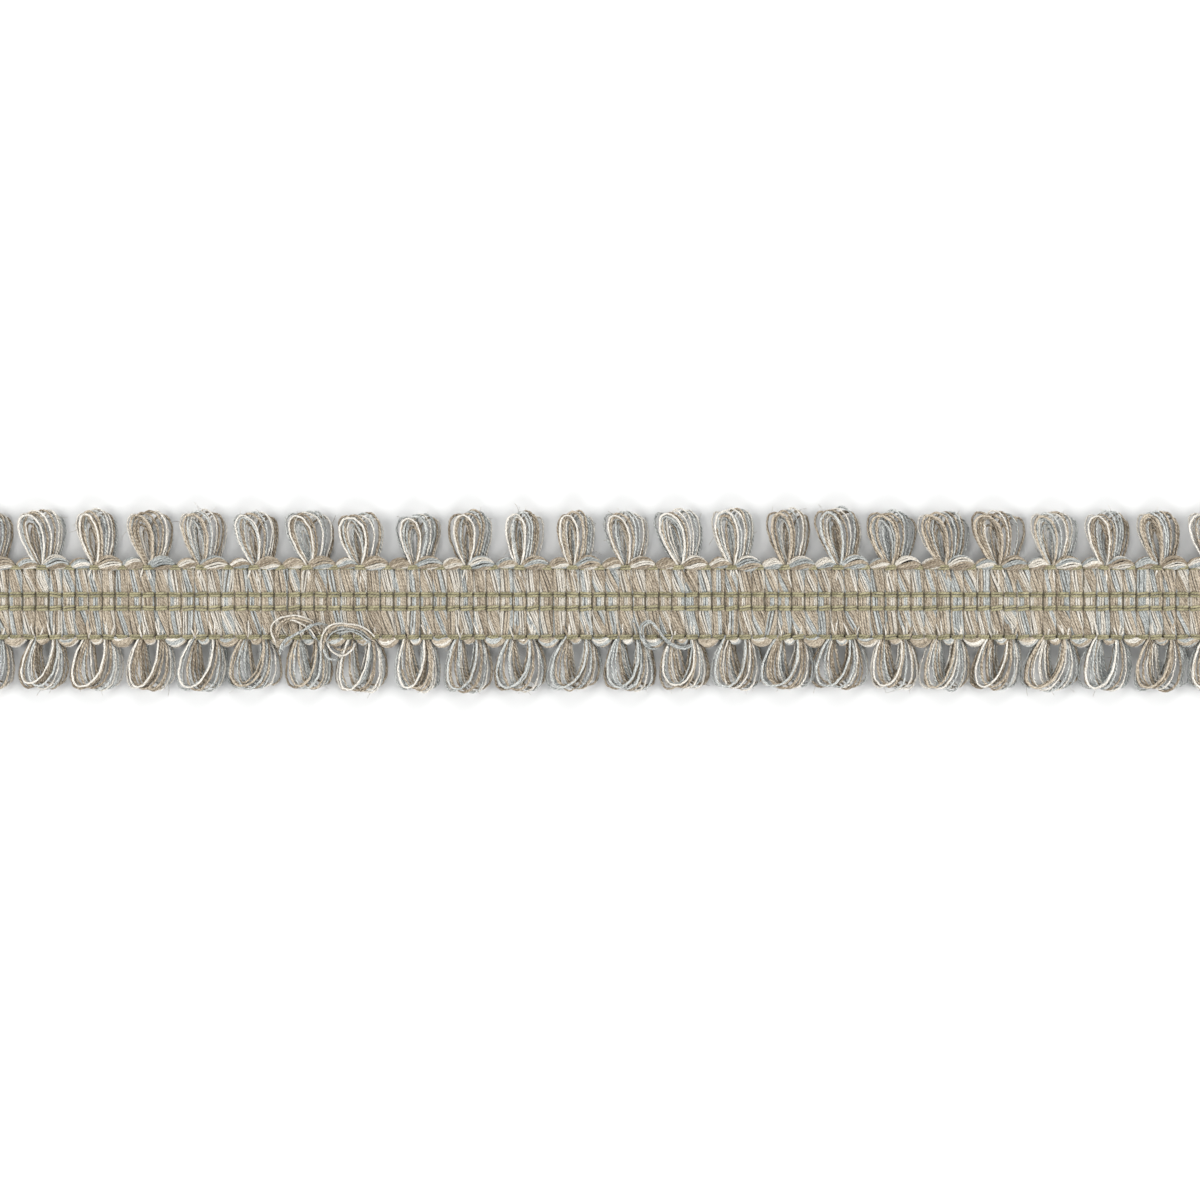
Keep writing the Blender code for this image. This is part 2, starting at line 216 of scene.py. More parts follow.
# How far a strand's feet lie inside the edge line, and how far its tip stays inside the loop's reach
FOOT_INSET, TIP_INSET = 0.25, 0.3

# The spread of a strand's width as a share, and of its belly, feet, tip and crown in mm
LOOP_SPREAD = {"width": 0.07, "belly": 0.2, "feet": 0.12, "tip": 0.16, "crown": 0.08}

# Each scallop is a twisted turn of weft between two bundles: where it starts and ends from the neck, how
# far it bulges out, half its width in the plane of the braid and half its thickness, how its fullest
# place is skewed, and how far its strands turn round it, in radians
SCALLOP_COLUMNS = ("start", "end", "bulge", "half_width", "half_thickness", "skew", "twist")
UPPER_SCALLOPS = ((0.2, 6.0, 0.8, 1.35, 0.95, 0.95, 1.3), (6.1, 10.8, 0.65, 1.0, 0.75, 0.95, 1.5))
LOWER_SCALLOPS = ((-0.5, 1.7, 0.7, 0.5, 0.5, 1.0, 1.6), (3.9, 8.3, 0.9, 0.8, 0.65, 0.95, 1.6))
SCALLOP_STRANDS = 14
SCALLOP_STEPS = 13

# The weft bundles: how many strands go round each, how thick they are, and where across the band their
# paths step (closest where the rows pinch them), how flat their section is, and the pinch of a row: the
# distance that it reaches, and half the width and half the thickness of a bundle in the pinch and away
# from it
BUNDLE_STRANDS = 16
WEFT_THICKNESS = 0.96
BUNDLE_PLACES = np.array([-EDGE_LINE - 0.35, -EDGE_LINE, -6.9, -5.4, -3.7, -2.4, -1.8, -1.25, -0.55,
                          0.9, 1.6, 2.2, 3.0, 4.4, 6.3, 7.1, EDGE_LINE, EDGE_LINE + 0.35])
BUNDLE_STEPS = len(BUNDLE_PLACES)
BUNDLE_FLATNESS = 0.8
PINCH = {"half": 1.1, "narrow": 1.15, "wide": 1.38, "thin": 0.64, "thick": 0.92}

# How far a bundle's strands turn above and below its middle, as the mean and the spread in radians
TWIST_UP, TWIST_DOWN = (1.3, 0.6), (1.2, 0.7)

# The spread of a bundle's middle in mm, of its width as a share and of its strands' places in radians
BUNDLE_SPREAD = {"middle": 0.04, "width": 0.05, "angle": 0.045}

# How far the lower end of each of a repeat's four bundles is pulled to the side by the stems and scallops
LOWER_PULL = (0.05, 0.45, 0.35, -0.25)

# The strands that fan from a loop's neck or stems over the band: how far each leans, and how far it
# reaches
ROOT_LEANS = (-0.7, 0.2, 1.2)
ROOT_REACH = (2.6, 3.9, 3.3)
ROOT_CREAM_SHARE = 0.65
ROOT_STEPS = 9

# Stray fibres: how many, the steps and the radius of each, the shortest and the longest, and how much
# they bend
FIBRES = 900
FIBRE_STEPS = 5
FIBRE_RADIUS = 0.045
FIBRE_LENGTHS = (0.8, 2.4)
FIBRE_BEND = 0.5

# Tufts that have sprung up from the lower edge. Each strand has its yarn, how high it stands and the
# places that it passes
CURLS = (
    (CREAM, 3.3, ((-68.6, -9.6), (-68.9, -8.3), (-69.6, -6.7), (-69.8, -5.4), (-69.3, -4.3),
                  (-68.2, -3.5), (-67.0, -3.1), (-65.0, -2.8), (-63.3, -3.1), (-61.9, -3.6),
                  (-60.7, -4.3))),
    (TAUPE, 3.1, ((-68.0, -9.6), (-68.8, -7.4), (-68.7, -6.0), (-67.9, -4.6), (-66.7, -3.7),
                  (-65.0, -3.3), (-63.3, -3.6), (-61.7, -4.2), (-60.1, -5.4), (-59.0, -7.4))),
    (TAUPE, 2.9, ((-68.3, -10.1), (-68.4, -7.6), (-68.0, -5.8), (-67.0, -4.5), (-65.5, -3.9),
                  (-63.9, -4.1), (-61.9, -4.8), (-60.8, -5.9), (-59.6, -7.4))),
    (CREAM, 3.2, ((-66.6, -4.0), (-65.0, -3.8), (-63.7, -4.4), (-62.4, -5.2), (-61.2, -6.3),
                  (-60.0, -8.2))),
    (BLUE_GREY, 2.8, ((-62.2, -5.7), (-61.0, -7.1), (-59.9, -8.1))),
    (BLUE_GREY, 3.6, ((-67.8, -11.1), (-67.9, -9.9), (-67.0, -8.1), (-65.5, -7.2), (-63.5, -6.2),
                      (-61.7, -5.4), (-59.9, -4.5), (-57.8, -4.8))),
    (BLUE_GREY, 3.5, ((-67.6, -10.4), (-66.7, -8.4), (-65.0, -7.0), (-63.2, -6.2), (-61.9, -5.1),
                      (-60.6, -4.8), (-58.8, -4.6))),
    (CREAM, 3.6, ((-59.0, -11.9), (-59.2, -9.6), (-59.1, -7.4), (-58.3, -5.7), (-57.1, -4.8),
                  (-55.4, -4.4), (-53.7, -4.6), (-51.9, -4.8), (-50.5, -5.3), (-49.3, -5.9),
                  (-48.4, -6.8), (-47.4, -8.1))),
    (TAUPE, 3.4, ((-58.5, -11.0), (-58.8, -9.4), (-58.5, -7.6), (-57.7, -6.1), (-56.4, -5.2),
                  (-54.7, -4.9), (-53.0, -5.1), (-51.1, -5.6), (-49.8, -6.3), (-48.8, -7.4),
                  (-47.9, -8.4))),
    (BLUE_GREY, 3.0, ((-58.0, -9.0), (-57.8, -7.6), (-56.9, -6.5), (-55.4, -5.8), (-53.7, -5.6),
                      (-51.9, -5.8), (-50.4, -6.6), (-49.3, -7.5), (-48.1, -8.3))),
    (BLUE_GREY, 2.8, ((-56.6, -6.6), (-53.5, -6.1), (-52.1, -6.3), (-50.8, -7.1), (-49.6, -8.1),
                      (-48.8, -8.6))),
    (BLUE_GREY, 3.0, ((-58.7, -9.4), (-58.4, -11.0), (-57.3, -12.0), (-55.4, -12.1))),
    (CREAM, 3.4, ((-57.9, -8.1), (-57.6, -9.4), (-56.7, -10.5), (-55.4, -11.2), (-54.2, -11.2),
                  (-53.1, -10.5), (-52.3, -9.5), (-52.0, -8.6))),
    (TAUPE, 2.6, ((-56.6, -9.4), (-55.4, -10.1), (-54.0, -10.0), (-53.0, -9.4))),
    (BLUE_GREY, 3.2, ((11.5, -9.1), (9.9, -9.2), (8.5, -7.9), (8.1, -6.4), (8.3, -5.0), (9.3, -4.2),
                      (10.3, -4.0), (11.4, -5.1), (12.5, -6.6), (13.9, -8.4), (15.8, -9.5), (17.6, -9.8),
                      (18.9, -9.2), (19.5, -8.3))),
    (BLUE_GREY, 3.0, ((12.4, -9.4), (10.6, -9.8), (9.1, -8.9), (8.9, -7.6), (8.8, -6.2), (9.0, -5.0),
                      (9.9, -4.4), (10.9, -4.5), (12.1, -6.0), (13.4, -7.7), (15.0, -8.9), (16.8, -9.4),
                      (18.2, -9.3), (19.3, -8.6))),
)
CURL_STEPS = 41

# The height at which a tuft's strand leaves the edge and meets the band again
CURL_ROOT = 1.5


class Num:
    """A shader number. Python's operators on it add Math nodes to the material's tree."""

    def __init__(self, tree, socket):
        self.tree = tree
        self.socket = socket

    def math(self, operation, *others):
        node = add_node(self.tree, "ShaderNodeMath", {"operation": operation}, {0: self})
        for place, other in enumerate(others, start=1):
            feed(self.tree, node.inputs[place], other)
        return Num(self.tree, node.outputs[0])

    def __add__(self, other):
        return self.math("ADD", other)

    def __mul__(self, other):
        return self.math("MULTIPLY", other)

    def __sub__(self, other):
        return self.math("SUBTRACT", other)

    def clamp(self):
        return self.math("MAXIMUM", 0.0).math("MINIMUM", 1.0)

    def sine(self):
        return self.math("SINE")


def feed(tree, socket, value):
    """Gives a socket a link or a plain value."""
    if isinstance(value, Num):
        tree.links.new(value.socket, socket)
    elif isinstance(value, bpy.types.NodeSocket):
        tree.links.new(value, socket)
    else:
        socket.default_value = value


def add_node(tree, kind, settings=None, sockets=None):
    """A node of this kind with its settings, and the values or links of its sockets by name or number."""
    node = tree.nodes.new(kind)
    for key, value in (settings or {}).items():
        setattr(node, key, value)
    for key, value in (sockets or {}).items():
        feed(tree, node.inputs[key], value)
    return node


def mix_colour(tree, factor, first, second):
    """Mixes two colours by a factor."""
    node = add_node(tree, "ShaderNodeMix", {"data_type": "RGBA"})
    feed(tree, node.inputs[0], factor)
    feed(tree, node.inputs[6], first)
    feed(tree, node.inputs[7], second)
    return node.outputs[2]


def attribute(tree, name):
    """A number that each strand carries."""
    return Num(tree, add_node(tree, "ShaderNodeAttribute", {"attribute_name": name}).outputs["Fac"])


def noise(tree, vector, scale, detail=2.0, roughness=0.5):
    """A noise number from 0 to 1."""
    sockets = {"Vector": vector, "Scale": scale, "Detail": detail, "Roughness": roughness}
    return Num(tree, add_node(tree, "ShaderNodeTexNoise", None, sockets).outputs[0])


def new_material(name, **constants):
    """A material with a Principled shader whose unlinked sockets are set by name."""
    material = bpy.data.materials.new(name)
    material.use_nodes = True
    shader = material.node_tree.nodes["Principled BSDF"]
    for key, value in constants.items():
        shader.inputs[key.replace("_", " ")].default_value = value
    return material, material.node_tree, shader


def strand_place(tree):
    """Along a strand in mm, round it as a share of a turn, and a vector of each strand's own."""
    uv = add_node(tree, "ShaderNodeUVMap", {"uv_map": "strand"})
    parts = add_node(tree, "ShaderNodeSeparateXYZ", None, {0: uv.outputs[0]})
    own = attribute(tree, "own")
    along = Num(tree, parts.outputs[0]) * 10.0 + own * 9.0
    around = Num(tree, parts.outputs[1])
    vector = add_node(tree, "ShaderNodeCombineXYZ", None, {0: along, 1: own * 37.0, 2: around * 0.8})
    return along, around, vector.outputs[0]


# The height in mm below which the binding threads are darkened by painted shade, and how fast
DIP_LEVEL, DIP_SHADE = 2.15, 1.6

# Colours of the yarns, as the light and the dark of each, and of the rest
YARN_COLOURS = (
    ((0.77, 0.73, 0.665, 1.0), (0.51, 0.47, 0.405, 1.0)),
    ((0.53, 0.457, 0.36, 1.0), (0.205, 0.163, 0.115, 1.0)),
    ((0.55, 0.56, 0.54, 1.0), (0.23, 0.245, 0.24, 1.0)),
)
OLIVE_LIGHT, OLIVE_DARK = (0.54, 0.49, 0.31, 1.0), (0.15, 0.135, 0.075, 1.0)
# The packed weft's two colours are painted shade: darkest in the ribs' gaps, less dark on their crests
WEFT_GAP_SHADE, WEFT_CREST_SHADE = (0.19, 0.165, 0.125, 1.0), (0.34, 0.30, 0.25, 1.0)
FLOOR_DARK, FLOOR_LIGHT = (0.66, 0.66, 0.66, 1.0), (0.68, 0.68, 0.68, 1.0)
LAMP_COLOUR = (1.0, 0.993, 0.98)
SKY_COLOUR, SKY_STRENGTH = (0.78, 0.91, 1.0, 1.0), 0.15

# How strong the uneven dye and the painted shade of the ply show in the band's yarn and in the loops'
BAND_CONTRAST, LOOP_CONTRAST = 0.65, 1.3

# The length in mm over which a yarn's ply, its loose fibres and a binding thread's ply go once round
YARN_TWIST, FIBRE_TWIST, THREAD_TWIST = 0.85, 2.6, 0.6


def mixed_yarn(name, contrast):
    """Cream, taupe and blue grey yarn, flecked along each strand, with lines of its ply and loose fibres.

    The contrast is that of the uneven dye and the painted shade of the ply and fibre lines, which darkens
    their grooves and lightens their crowns. A strand's tone makes the whole strand lighter or darker.
    """
    material, tree, shader = new_material(
        name, Sheen_Weight=0.25, Sheen_Roughness=0.4, IOR=1.4, Specular_IOR_Level=0.35)
    along, around, place = strand_place(tree)
    yarn = attribute(tree, "yarn")
    tone = attribute(tree, "tone")
    slub = noise(tree, place, 0.55, 3.0, 0.6)
    fleck = noise(tree, place, 2.6, 2.0, 0.6)
    ply = (around * (4 * math.pi) - along * (2 * math.pi / YARN_TWIST) + slub * 3.0).sine()
    fibre = (around * (8 * math.pi) - along * (2 * math.pi / FIBRE_TWIST) + fleck * 5.0).sine()
    # Slub and fleck are uneven dye; the ply and fibre terms are painted shade in their grooves and painted
    # light on their crowns
    dye_and_ply_shade = slub * 2.0 + fleck * 1.9 - ply * 0.26 - fibre * 0.28 - 1.95
    depth = (dye_and_ply_shade * contrast - tone * 0.25 + 0.5).clamp()
    shades = [mix_colour(tree, depth, light, dark) for light, dark in YARN_COLOURS]
    colour = mix_colour(tree, yarn.clamp(), shades[0], shades[1])
    colour = mix_colour(tree, (yarn - 1.0).clamp(), colour, shades[2])
    feed(tree, shader.inputs["Base Color"], colour)
    feed(tree, shader.inputs["Roughness"], (yarn.clamp() * 0.25 + 0.5 + fleck * 0.12).clamp())
    height = ply + fibre * 0.25 + fleck * 0.8
    bump = add_node(tree, "ShaderNodeBump", None, {"Strength": 0.9, "Distance": 0.07 * MM, "Height": height})
    feed(tree, shader.inputs["Normal"], bump.outputs[0])
    return material


def olive_thread():
    """Fine two-ply binding thread, with painted light on its ply's crowns and painted shade where it dips."""
    material, tree, shader = new_material(
        "olive_thread", Sheen_Weight=0.2, Sheen_Roughness=0.4, IOR=1.4, Specular_IOR_Level=0.35)
    along, around, place = strand_place(tree)
    tone = attribute(tree, "tone")
    slub = noise(tree, place, 0.8, 2.0, 0.6)
    ply = (around * (4 * math.pi) - along * (2 * math.pi / THREAD_TWIST)).sine()
    where = add_node(tree, "ShaderNodeTexCoord").outputs["Object"]
    height = Num(tree, add_node(tree, "ShaderNodeSeparateXYZ", None, {0: where}).outputs[2])
    # Painted shade that deepens as the thread dips low into the gaps, and painted light on the ply's crowns
    low = (height * (-DIP_SHADE / MM) + DIP_SHADE * DIP_LEVEL).clamp()
    depth = (slub * 1.3 - ply * 0.14 - tone * 0.15 - 0.08 + low * 0.85).clamp()
    feed(tree, shader.inputs["Base Color"], mix_colour(tree, depth, OLIVE_LIGHT, OLIVE_DARK))
    feed(tree, shader.inputs["Roughness"], (slub * 0.2 + 0.6).clamp())
    bump = add_node(tree, "ShaderNodeBump", None, {"Strength": 0.3, "Distance": 0.03 * MM, "Height": ply})
    feed(tree, shader.inputs["Normal"], bump.outputs[0])
    return material


def shaded_packed_weft():
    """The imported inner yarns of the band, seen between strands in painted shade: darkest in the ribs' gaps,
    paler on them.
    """
    material, tree, shader = new_material("shaded_packed_weft", Sheen_Weight=0.15, Specular_IOR_Level=0.2)
    place = add_node(tree, "ShaderNodeTexCoord").outputs["Object"]
    stretched = add_node(tree, "ShaderNodeMapping", None, {"Vector": place, "Scale": (3.0, 0.5, 1.0)})
    lines = noise(tree, stretched.outputs[0], 900.0, 3.0, 0.6)
    crest = (attribute(tree, "crest") * 2.2 - 1.1 + lines * 0.4).clamp()
    feed(tree, shader.inputs["Base Color"], mix_colour(tree, crest, WEFT_GAP_SHADE, WEFT_CREST_SHADE))
    feed(tree, shader.inputs["Roughness"], (lines * 0.1 + 0.85).clamp())
    bump = add_node(tree, "ShaderNodeBump", None, {"Strength": 0.6, "Distance": 0.1 * MM, "Height": lines})
    feed(tree, shader.inputs["Normal"], bump.outputs[0])
    return material


def unit(vectors):
    """Each vector at length 1."""
    return vectors / np.maximum(np.linalg.norm(vectors, axis=-1, keepdims=True), 1e-9)


def mesh_from(name, corners, faces, material, uv=None, numbers=None):
    """A smooth mesh object at the origin. faces is a list of index arrays, each of one number of corners."""
    mesh = bpy.data.meshes.new(name)
    loops = np.concatenate([group.ravel() for group in faces])
    sizes = np.concatenate([np.full(len(group), group.shape[1]) for group in faces])
    mesh.vertices.add(len(corners))
    mesh.vertices.foreach_set("co", (corners * MM).astype(np.float32).ravel())
    mesh.loops.add(len(loops))
    mesh.loops.foreach_set("vertex_index", loops.astype(np.int32))
    mesh.polygons.add(len(sizes))
    mesh.polygons.foreach_set("loop_start", (np.cumsum(sizes) - sizes).astype(np.int32))
    mesh.polygons.foreach_set("use_smooth", np.ones(len(sizes), bool))
    if uv is not None:
        mesh.uv_layers.new(name="strand").uv.foreach_set("vector", uv.astype(np.float32).ravel())
    for key, values in (numbers or {}).items():
        layer = mesh.attributes.new(key, "FLOAT", "POINT")
        layer.data.foreach_set("value", values.astype(np.float32).ravel())
    mesh.update(calc_edges=True)
    mesh.materials.append(material)
    piece = bpy.data.objects.new(name, mesh)
    bpy.context.scene.collection.objects.link(piece)
    return piece


def strands(name, paths, radii, yarn, material, sides=6, tone=None):
    """Round strands swept along paths, an array of (strand, step, xyz), as one mesh.

    A strand's section at each step is the circle path + r (cos a * side + sin a * up), where side is
    level and square to the path, and up is square to both. Its UV is the length along it in centimetres
    and the turn a, and each strand carries its yarn, its tone and a number of its own. The tone is from
    -1 to 1 where none is given.
    """
    count, steps, _ = paths.shape
    radii = np.broadcast_to(np.asarray(radii), (count, steps))
    tangent = unit(np.gradient(paths, axis=1))
    level = unit(np.cross(tangent, [0.0, 0.0, 1.0]))
    up = np.cross(level, tangent)
    turn = 2 * math.pi * np.arange(sides) / sides
    around = np.cos(turn)[:, None] * level[:, :, None, :] + np.sin(turn)[:, None] * up[:, :, None, :]
    corners = paths[:, :, None, :] + radii[:, :, None, None] * around

    number = np.arange(count * steps * sides).reshape(count, steps, sides)
    beside = np.roll(number, -1, axis=2)
    quads = np.stack([number[:, :-1], number[:, 1:], beside[:, 1:], beside[:, :-1]], axis=-1).reshape(-1, 4)
    caps = np.concatenate([number[:, 0, :], number[:, -1, ::-1]])

    length = np.cumsum(np.linalg.norm(np.diff(paths, axis=1, prepend=paths[:, :1]), axis=2), axis=1) / 10.0
    near = np.broadcast_to(length[:, :-1, None], (count, steps - 1, sides))
    far = np.broadcast_to(length[:, 1:, None], (count, steps - 1, sides))
    share = np.broadcast_to(np.arange(sides) / sides, near.shape)
    after = share + 1 / sides
    quad_uv = np.stack([near, share, far, share, far, after, near, after], axis=-1).reshape(-1, 2)
    cap_uv = np.zeros((caps.size, 2))

    if tone is None:
        tone = rng.uniform(-1, 1, count)
    own = rng.uniform(0, 1, count)
    carried = {"yarn": yarn, "tone": tone, "own": own}
    numbers = {key: np.repeat(value, steps * sides) for key, value in carried.items()}
    uv = np.concatenate([quad_uv, cap_uv])
    return mesh_from(name, corners.reshape(-1, 3), [quads, caps], material, uv, numbers)


def wander(count, steps, amount, waves=(1.3, 2.9, 5.3)):
    """The slow drift of each strand off its line: sine waves of random phase, each weaker than the last."""
    along = np.linspace(0, 1, steps)[None, :, None]
    drift = np.zeros((count, steps, 3))
    for order, wave in enumerate(waves, start=1):
        phase = rng.uniform(0, 2 * math.pi, (count, 1, 3))
        drift += np.sin(2 * math.pi * wave * along + phase) / order
    return amount * drift


def uneven(radii, steps):
    """Each strand's radius along its length: its own, thicker and thinner by sine waves of random phase."""
    along = np.linspace(0, 1, steps)[None, :]
    swell = np.zeros((len(radii), steps))
    for wave in (2.7, 6.1, 13.3):
        swell += np.sin(2 * math.pi * (wave * along + rng.uniform(0, 1, (len(radii), 1))))
    return radii[:, None] * (1 + 0.07 * swell)


def pick_yarns(groups, size, run=1):
    """The yarns of each group of strands: the same set in each, in a new order, in runs of one yarn."""
    share = (np.arange(math.ceil(size / run)) + 0.5) * run / size
    yarns = np.select([share < CREAM_SHARE, share < WARM_SHARE], [CREAM, TAUPE], BLUE_GREY)
    order = rng.permuted(np.tile(yarns, (groups, 1)), axis=1)
    return np.repeat(order, run, axis=1)[:, :size]


def thickness_of(yarns, unevenness=0.08):
    """The radius of each strand, by its yarn."""
    return YARN_RADIUS[yarns.astype(int)] * (1 + rng.normal(0, unevenness, yarns.shape))


def columns(names, table):
    """The columns of a table as arrays by name."""
    return dict(zip(names, np.array(table, float).T))


def loop_paths(table, strand_plan, middles, draw):
    """Paths of the strands of all loops of one edge, and the yarn of each.

    With t from 0 to a whole turn, a strand is (1 - cos t) / 2 of the way out. To the side it is a drop,
    sin t times sin(t / 2) to a power, plus its two stems, which stand apart by cos(t / 2). Its height
    follows sin(t / 2) up to its crown. A strand's place in the plan moves its drop from the left of the
    loop to the right.
    """
    loop = {key: value[:, None, None] for key, value in columns(LOOP_COLUMNS, table).items()}
    size = (LOOPS, len(strand_plan), 1)
    plan = {key: value[None, :, None] for key, value in columns(STRAND_COLUMNS, strand_plan).items()}
    share = plan["across"]
    turn = np.linspace(0, 2 * math.pi, LOOP_STEPS)[None, None, :]
    out = (1 - np.cos(turn)) / 2
    rise = np.sin(turn / 2)
    power = draw["power"]
    widest = 2 * math.atan(math.sqrt(power + 1))
    drop = np.sin(turn) * rise ** power / (math.sin(widest) * math.sin(widest / 2) ** power)

    middle = middles[:, None, None] + loop["shift"]
    full = draw["span"] * (loop["left"] + loop["right"])
    first = middle - loop["left"] + full / 2
    last = middle + loop["right"] + draw["beyond"] - full / 2
    width = full * plan["width"] * rng.normal(1, LOOP_SPREAD["width"], size)
    belly = first + (last - first) * share + rng.normal(0, LOOP_SPREAD["belly"], size)
    feet = [start + (end - start) * share for start, end in (draw["left_foot"], draw["right_foot"])]
    root = middle + (feet[0] + feet[1]) / 2 + rng.normal(0, LOOP_SPREAD["feet"], size)
    stem = (feet[1] - feet[0]) / 2
    half = width / 2 - stem * math.cos(widest / 2)
    x = root + (belly - root) * out - half * drop - stem * np.cos(turn / 2)

    root_y = EDGE_LINE - FOOT_INSET
    short = plan["short"] + rng.normal(0, LOOP_SPREAD["tip"], size)
    tip = EDGE_LINE + loop["reach"] - TIP_INSET - short
    y = draw["side"] * (root_y + (tip - root_y) * out)

    level = plan["level"] + rng.normal(0, LOOP_SPREAD["crown"], size)
    root_z = FOOT_LEVEL + (0.5 - share) * FOOT_DEPTH
    z = root_z + (level - root_z) * rise
    paths = np.stack(np.broadcast_arrays(x, y, z), axis=-1).reshape(-1, LOOP_STEPS, 3)

    yarns = pick_yarns(LOOPS, len(strand_plan))
    filled = rng.uniform(size=(LOOPS, FILL_STRANDS)) < FILL_SHARE
    yarns[:, 1:FILL_STRANDS + 1] = np.where(filled, loop["fill"][:, 0], yarns[:, 1:FILL_STRANDS + 1])
    yarns[:, 0] = loop["front"][:, 0, 0]
    loose = np.sin(turn[0, 0] / 2)[None, :, None] ** 0.5
    paths += wander(len(paths), LOOP_STEPS, 0.08) * loose
    paths += wander(len(paths), LOOP_STEPS, 0.05, (9.1, 14.3, 18.7)) * loose
    return paths, yarns.ravel()


def keep_above(paths, radii, floor=0.02):
    """Lifts any stretch of a strand that would sink into the floor."""
    paths[:, :, 2] = np.maximum(paths[:, :, 2], floor + radii[:, None])
    return paths


def make_loops(name, table, strand_plan, middles, draw, material):
    """All loops of one edge as one piece, and the paths of their strands."""
    paths, yarns = loop_paths(table, strand_plan, middles, draw)
    radii = LOOP_THICKNESS * thickness_of(yarns)
    paths = keep_above(paths, radii)
    tone = rng.uniform(*LOOP_TONES, (LOOPS, len(strand_plan)))
    tone += np.where(yarns.reshape(tone.shape) == TAUPE, TAUPE_LOOP_TONE, OTHER_LOOP_TONE)
    # The foremost strand is painted lighter: a painted highlight on the loop's topmost strand
    tone[:, 0] = FRONT_HIGHLIGHT_TONE
    return strands(name, paths, uneven(radii, LOOP_STEPS), yarns, material, 5, tone.ravel()), paths


def bundle_section(centre, across, half_width, half_thickness, angle, flatness=1.0):
    """Paths of the strands that wind round a bundle: centre + w cos(angle) * across + h sin(angle) * upwards.

    centre is (bundle, step, xyz), across is the level direction over the bundle, and angle is (bundle,
    strand, step). The sine is taken to the power of the flatness: below 1 the section is flatter.
    """
    height = np.sign(np.sin(angle)) * np.abs(np.sin(angle)) ** flatness
    wide = (half_width[:, None, :] * np.cos(angle))[..., None] * across[:, None]
    tall = (half_thickness[:, None, :] * height)[..., None] * np.array([0.0, 0.0, 1.0])
    return centre[:, None] + wide + tall


def rib_place(number):
    """Where along the braid a bundle's number lies.

    The spacing is even but for a drift to the right, which is 1.43 mm at the left of the frame, shrinks
    to 0.37 mm at its right, and eases to nothing at both ends of the braid.
    """
    even = LEFT_END + number * BUNDLE_PITCH
    inside = np.clip(np.minimum(even - LEFT_END, RIGHT_END - even) / DRIFT_EASE, 0, 1)
    return even + (DRIFT + DRIFT_CHANGE * even) * inside


def near_row(y, through_middle=False):
    """How close a place across the band is to a binding row: from 1 on it to 0 where the pinch ends.

    With through_middle it stays 1 from one middle row to the other.
    """
    distance = np.min(np.abs(y[..., None] - np.array(ROW_Y)), axis=-1) / PINCH["half"]
    if through_middle:
        distance = np.where((y > ROW_Y[2]) & (y < ROW_Y[1]), 0.0, distance)
    eased = np.clip(distance, 0, 1)
    return 1 - eased * eased * (3 - 2 * eased)


def weft_paths():
    """Paths of the strands of every bundle of the band.

    A bundle crosses the band with its strands on an ellipse, which each binding row pinches. Between the
    rows at the edges and those in the middle the ellipse turns, so the strands slant, and below, the
    stems pull it aside.
    """
    y = BUNDLE_PLACES
    pinch = near_row(y)[None, :]
    number = np.arange(BUNDLES)
    middle = rib_place(number + 0.5) + rng.normal(0, BUNDLE_SPREAD["middle"], BUNDLES)
    upper = np.clip((y - ROW_Y[1]) / (ROW_Y[0] - ROW_Y[1]), 0, 1)[None, :]
    lower = np.clip((ROW_Y[2] - y) / (ROW_Y[2] - ROW_Y[3]), 0, 1)[None, :]
    pull = np.array(LOWER_PULL)[(number - 1) % 4][:, None]
    x = middle[:, None] + pull * lower ** 2
    centre = np.stack(np.broadcast_arrays(x, y[None, :], np.full_like(pinch, MID_PLANE)), axis=-1)

    spacing = np.diff(rib_place(np.arange(BUNDLES + 1)))[:, None]
    spare = rng.normal(1, BUNDLE_SPREAD["width"], (BUNDLES, 1)) * spacing / BUNDLE_PITCH
    drawn_in = near_row(y, through_middle=True)[None, :]
    half_width = (PINCH["wide"] + (PINCH["narrow"] - PINCH["wide"]) * drawn_in) * spare
    half_thickness = PINCH["thick"] + (PINCH["thin"] - PINCH["thick"]) * pinch + np.zeros((BUNDLES, 1))
    twist_up = rng.normal(*TWIST_UP, (BUNDLES, 1))
    twist_down = rng.normal(*TWIST_DOWN, (BUNDLES, 1))
    slow = rng.uniform(0, 2 * math.pi, (BUNDLES, 1)) + twist_up * upper - twist_down * lower
    spot = 2 * math.pi * np.arange(BUNDLE_STRANDS) / BUNDLE_STRANDS
    spot = spot[None, :, None] + rng.normal(0, BUNDLE_SPREAD["angle"], (BUNDLES, BUNDLE_STRANDS, 1))
    across = np.zeros((BUNDLES, BUNDLE_STEPS, 3))
    across[:, :, 0] = 1.0
    angle = spot + slow[:, None, :]
    paths = bundle_section(centre, across, half_width, half_thickness, angle, BUNDLE_FLATNESS)
    paths = paths.reshape(-1, BUNDLE_STEPS, 3)
    loose = (1 - pinch[0])[None, :, None] * np.array([1.0, 0.2, 0.5])
    return paths + wander(len(paths), BUNDLE_STEPS, 0.09) * loose


def make_wefts(material):
    """The band's bundles, in three pieces along the braid."""
    paths = weft_paths()
    yarns = pick_yarns(BUNDLES, BUNDLE_STRANDS, 2).ravel()
    radii = WEFT_THICKNESS * thickness_of(yarns)
    paths = keep_above(paths, radii)
    thick = uneven(radii, BUNDLE_STEPS)
    tone = rng.uniform(-1, 1, len(paths)) + np.where(yarns == CREAM, CREAM_WEFT_TONE, 0.0)
    pieces = []
    for number, part in enumerate(np.array_split(np.arange(len(paths)), 3), start=1):
        name = f"weft_bundles_{number}"
        pieces.append(strands(name, paths[part], thick[part], yarns[part], material, 5, tone[part]))
    return pieces


